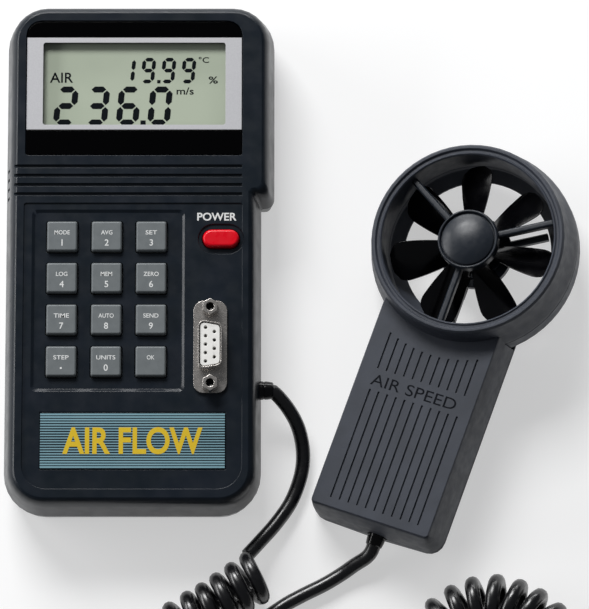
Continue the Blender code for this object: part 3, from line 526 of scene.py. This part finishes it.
def figure(character, left, bottom, width, height, stroke, slant):
    """Outlines of one figure's strokes, each a flat hexagon, leaning by the slant."""
    half, middle, gap = stroke / 2, height / 2, stroke * SEGMENT_GAP
    rows = {"a": height - half, "g": middle, "d": half}
    columns = {"b": (width - half, middle, height), "c": (width - half, 0, middle),
               "f": (half, middle, height), "e": (half, 0, middle)}
    outlines = []
    for segment in SEGMENTS[character]:
        if segment in rows:
            y = rows[segment]
            a, b = half + gap, width - half - gap
            points = [(a, y), (a + half, y - half), (b - half, y - half), (b, y),
                      (b - half, y + half), (a + half, y + half)]
        else:
            x, low, high = columns[segment]
            low += gap if low else half + gap
            high -= gap if high < height else half + gap
            points = [(x, low), (x + half, low + half), (x + half, high - half), (x, high),
                      (x - half, high - half), (x - half, low + half)]
        outlines.append([(left + x + slant * y, bottom + y) for x, y in points])
    return outlines


def dot(left, bottom, size):
    return [(left, bottom), (left + size, bottom), (left + size, bottom + size),
            (left, bottom + size)]


# Each reading: its figures, left edge, pitch, foot, width, height, stroke and slant, then its
# point's left edge and size, measured from the display's lower left corner
READINGS = [("2360", 3.6, 10.3, 0.8, 7.4, 13.1, 2.0, 0.09, 32.4, 1.7),
            ("1999", 25.6, 6.6, 15.0, 4.5, 8.6, 1.25, 0.10, 37.8, 1.1)]
# Each mark: its words, left edge, foot, width and height
MARKS = [("AIR", 2.6, 15.2, 7.6, 3.4), ("m/s", 44.2, 11.2, 5.6, 2.4),
         ("°C", 51.4, 21.9, 3.4, 2.0), ("%", 54.7, 14.9, 3.0, 2.4)]
FINE_WEIGHT = 0.01  # how far small letters' strokes are thickened
DISPLAY_DEPTH = 0.05


def make_display_figures():
    """Two readings in leaning seven-segment figures, and their small unit marks."""
    left, _, bottom, _, height = millimetres("lcd_glass")
    bm = bmesh.new()
    outlines = []
    for digits, x, pitch, foot, width, tall, stroke, slant, point, size in READINGS:
        for index, character in enumerate(digits):
            outlines += figure(character, left + x + pitch * index, bottom + foot, width, tall,
                               stroke, slant)
        outlines.append(dot(left + point, bottom + foot, size))
    extruded(bm, outlines, height, height + DISPLAY_DEPTH)
    for words, x, foot, width, tall in MARKS:
        box = (left + x, left + x + width, bottom + foot, bottom + foot + tall)
        stamp(bm, words, box, height, FINE_WEIGHT, DISPLAY_DEPTH)
    add_piece("display_figures", bm, "display_ink", "meter")


KEY_WORDS = ["MODE", "AVG", "SET", "LOG", "MEM", "ZERO", "TIME", "AUTO", "SEND", "STEP", "UNITS",
             "OK"]
KEY_NUMBERS = ["1", "2", "3", "4", "5", "6", "7", "8", "9", "·", "0", ""]
HALF_LETTER = 0.62


def make_key_prints():
    """A small word and a number on each key."""
    for index, (word, number) in enumerate(zip(KEY_WORDS, KEY_NUMBERS)):
        node = f"key_{index + 1:02d}"
        left, right, bottom, top, height = millimetres(node)
        x, y = (left + right) / 2, (bottom + top) / 2
        bm = bmesh.new()
        half = HALF_LETTER * len(word)
        stamp(bm, word, (x - half, x + half, y + 0.5, y + 1.9), height, FINE_WEIGHT)
        if number == "·":
            extruded(bm, [dot(x - 0.3, y - 2.6, 0.6)], height, height + 0.03)
        elif number:
            stamp(bm, number, (x, x, y - 3.2, y - 1.1), height, FINE_WEIGHT, stretch=False)
        add_piece(f"key_print_{index + 1:02d}", bm, "white_print", node)


LABEL_RISE = 0.25  # from the panel to the label's top


def make_face_prints():
    """The word over the power button, and the label's lettering."""
    left, right, _, top, _ = millimetres("power_button")
    panel = millimetres("label_plate")[4] - LABEL_RISE
    bm = bmesh.new()
    stamp(bm, "POWER", (left - 0.85, right - 1.85, top + 2.15, top + 4.8), panel, 0.02, 0.05)
    add_piece("power_word", bm, "white_print", "meter")
    left, right, bottom, top, height = millimetres("label_plate")
    bm = bmesh.new()
    stamp(bm, "AIR FLOW", (left + 7.2, right - 7.2, bottom + 4.7, top - 4.7), height, 0.025, 0.05)
    add_piece("label_words", bm, "yellow_print", "meter")


def make_probe_print():
    """The handle's sunk word, between the two rows of grooves, as thin flat letters painted dark
    for the shade inside sunk letters.
    """
    bm = bmesh.new()
    stamp(bm, "AIR SPEED", (-16.0, 13.6, -54.2, -50.4), HANDLE_FACE, 0.0, 0.03)
    mesh = mesh_of("probe_word", bm, place=PROBE_TO_WORLD)
    add_piece("probe_word", mesh, "sunk_word_shade", "probe")


# ---------------------------------------------------------------- vane

BLADES, BLADE_PHASE = 7, math.radians(3.4)
BLADE_TIP, BLADE_HUB = 27.3, 7.0
BLADE_BACK, BLADE_FRONT = 13.6, 22.0
BLADE_ROOT_WIDTH, BLADE_FLARE, BLADE_THICK = 4.9, 6.9, 0.9
BLADE_CROWN = 0.45
BLADE_SLOPE = 0.86  # the part of its depth that a blade's slope takes up
TIP_START, TIP_LENGTH = 0.8, 0.2  # the rounded tip, as shares of the blade's length
TIP_WIDTH = 0.45  # at its very end, as a share of the blade's width
HUB_PROFILE = [(1.6, 21.5), (4.0, 21.6), (6.2, 20.9), (BLADE_HUB, 19.8), (BLADE_HUB, 13.4),
               (1.6, 13.4), (1.6, 21.5)]
VANE_EDGE, VANE_SHARP = 0.25, math.radians(50)


def add_blade(bm, angle, rows=16, columns=8):
    """One twisted blade, from inside the hub to a rounded tip, with a front and a back skin."""
    middle = (BLADE_BACK + BLADE_FRONT) / 2
    slope = BLADE_SLOPE * (BLADE_FRONT - BLADE_BACK)
    root = BLADE_HUB - 1.0
    skins = {1: [], -1: []}
    for i in range(rows + 1):
        share = i / rows
        radius = root + share * (BLADE_TIP - root)
        tip_share = max(0.0, (share - TIP_START) / TIP_LENGTH)
        rounding = TIP_WIDTH + (1 - TIP_WIDTH) * math.sqrt(1 - tip_share ** 2)
        width = (BLADE_ROOT_WIDTH + BLADE_FLARE * math.sin(share * math.pi / 2)) * rounding
        for j in range(columns + 1):
            across = j / columns - 0.5
            crown = BLADE_CROWN * (1 - 4 * across * across)
            turn = angle - across * width / radius
            height = middle + across * slope * rounding + crown
            for side, skin in skins.items():
                skin.append(bm.verts.new((radius * math.cos(turn), radius * math.sin(turn),
                                          height + side * BLADE_THICK / 2)))
    wide = columns + 1
    front, back = skins[1], skins[-1]
    for i in range(rows):
        for j in range(columns):
            a, b = i * wide + j, (i + 1) * wide + j
            bm.faces.new((front[a], front[b], front[b + 1], front[a + 1]))
            bm.faces.new((back[a + 1], back[b + 1], back[b], back[a]))
    rim = (list(range(wide)) + [i * wide + columns for i in range(1, rows + 1)]
           + [rows * wide + j for j in range(columns - 1, -1, -1)]
           + [i * wide for i in range(rows - 1, 0, -1)])
    for a, b in zip(rim, rim[1:] + rim[:1]):
        bm.faces.new((front[a], front[b], back[b], back[a]))


def make_vane():
    """The moulded vane: a domed hub and seven blades with rounded edges."""
    bm = turned(HUB_PROFILE)
    for index in range(BLADES):
        add_blade(bm, BLADE_PHASE + 2 * math.pi * index / BLADES)
    bmesh.ops.recalc_face_normals(bm, faces=bm.faces)
    mesh = mesh_of("vane_fine", bm, place=PROBE_TO_WORLD)
    vane = add_piece("vane_fine", mesh, "gloss_black", "vane")
    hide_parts("impeller")
    bevel = vane.modifiers.new("rounded_edges", "BEVEL")
    bevel.width = VANE_EDGE * MM
    bevel.segments = 2
    bevel.limit_method = "ANGLE"
    bevel.angle_limit = VANE_SHARP
    bevel.harden_normals = True


# ---------------------------------------------------------------- cord

def smooth_route(points, spacing):
    """Points about this far apart on a Catmull-Rom curve through the given ones."""
    knots = [Vector(p) for p in points]
    knots = [2 * knots[0] - knots[1]] + knots + [2 * knots[-1] - knots[-2]]
    route = []
    for a, b, c, d in zip(knots, knots[1:], knots[2:], knots[3:]):
        parts = max(1, round((c - b).length / spacing))
        for i in range(parts):
            t = i / parts
            route.append(0.5 * (2 * b + (c - a) * t + (2 * a - 5 * b + 4 * c - d) * t * t
                                + (3 * b - 3 * c + d - a) * t ** 3))
    route.append(knots[-2])
    return route


def resampled(route, count):
    """That many points at equal steps along a route."""
    marks = [0.0]
    for a, b in zip(route, route[1:]):
        marks.append(marks[-1] + (b - a).length)
    points, i = [], 0
    for k in range(count):
        goal = marks[-1] * k / (count - 1)
        while i < len(route) - 2 and marks[i + 1] < goal:
            i += 1
        share = (goal - marks[i]) / (marks[i + 1] - marks[i])
        points.append(route[i].lerp(route[i + 1], share))
    return points


def helix():
    """The curly stretch: turns about its axis, which lies one outer radius above the floor."""
    axis = resampled(smooth_route([(x, y, CURLY_R) for x, y in CURLY_AXIS], 1.0),
                     COIL_TURNS * COIL_POINTS + 1)
    radius = CURLY_R - CORD_R - COIL_SLACK
    points = []
    for i, centre in enumerate(axis):
        ahead = axis[min(i + 1, len(axis) - 1)] - axis[max(i - 1, 0)]
        side = Vector((0, 0, 1)).cross(ahead).normalized()
        angle = 2 * math.pi * i / COIL_POINTS
        spoke = side * -math.cos(angle) + Vector((0, 0, math.sin(angle)))
        points.append(centre + radius * spoke)
    return points


def tube_mesh(name, route, sides=20):
    """A round tube along a route in millimetres, its ends closed flat."""
    curve = bpy.data.curves.new(name, "CURVE")
    curve.dimensions = "3D"
    curve.bevel_depth = CORD_R * MM
    curve.bevel_resolution = sides // 4 - 1
    curve.use_fill_caps = True
    curve.twist_mode = "MINIMUM"
    spline = curve.splines.new("POLY")
    spline.points.add(len(route) - 1)
    for point, place in zip(spline.points, route):
        point.co = (*(place * MM), 1.0)
    holder = bpy.data.objects.new(name, curve)
    bpy.context.scene.collection.objects.link(holder)
    view = bpy.context.evaluated_depsgraph_get()
    mesh = bpy.data.meshes.new_from_object(holder.evaluated_get(view))
    bpy.data.objects.remove(holder)
    mesh.shade_smooth()
    return mesh


def make_cord():
    """The meter's lead, the curly stretch and the probe's lead, each a round tube in place of its
    CAD node.
    """
    gland = PROBE_TO_WORLD @ Vector((0, HANDLE_END - 1.5, LEAD_HEIGHT))
    away = PROBE_TO_WORLD @ Vector((0, HANDLE_END - 5.0, LEAD_HEIGHT))
    coil = helix()
    stretches = [
        ("meter_lead", smooth_route(METER_LEAD, 1.5), "meter_lead", "loose"),
        ("curly_lead", coil, "curly_cord", "coiled"),
        ("probe_cable", smooth_route([gland, away, *PROBE_LEAD_END], 1.5), "probe_lead", "loose"),
    ]
    for name, route, node, lay in stretches:
        piece = add_piece(f"{name}_fine", tube_mesh(name, route), "cord_jacket",
                          None if node == "probe_lead" else "meter")
        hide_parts(node)
        if node == "probe_lead":
            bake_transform(piece)


make_camera()
make_floor()
make_lights()
finish_hidden_nodes()
make_cord()
make_shaped_pieces()
make_boots()
make_bore_shades()
make_display_figures()
make_key_prints()
make_face_prints()
make_probe_print()
make_vane()
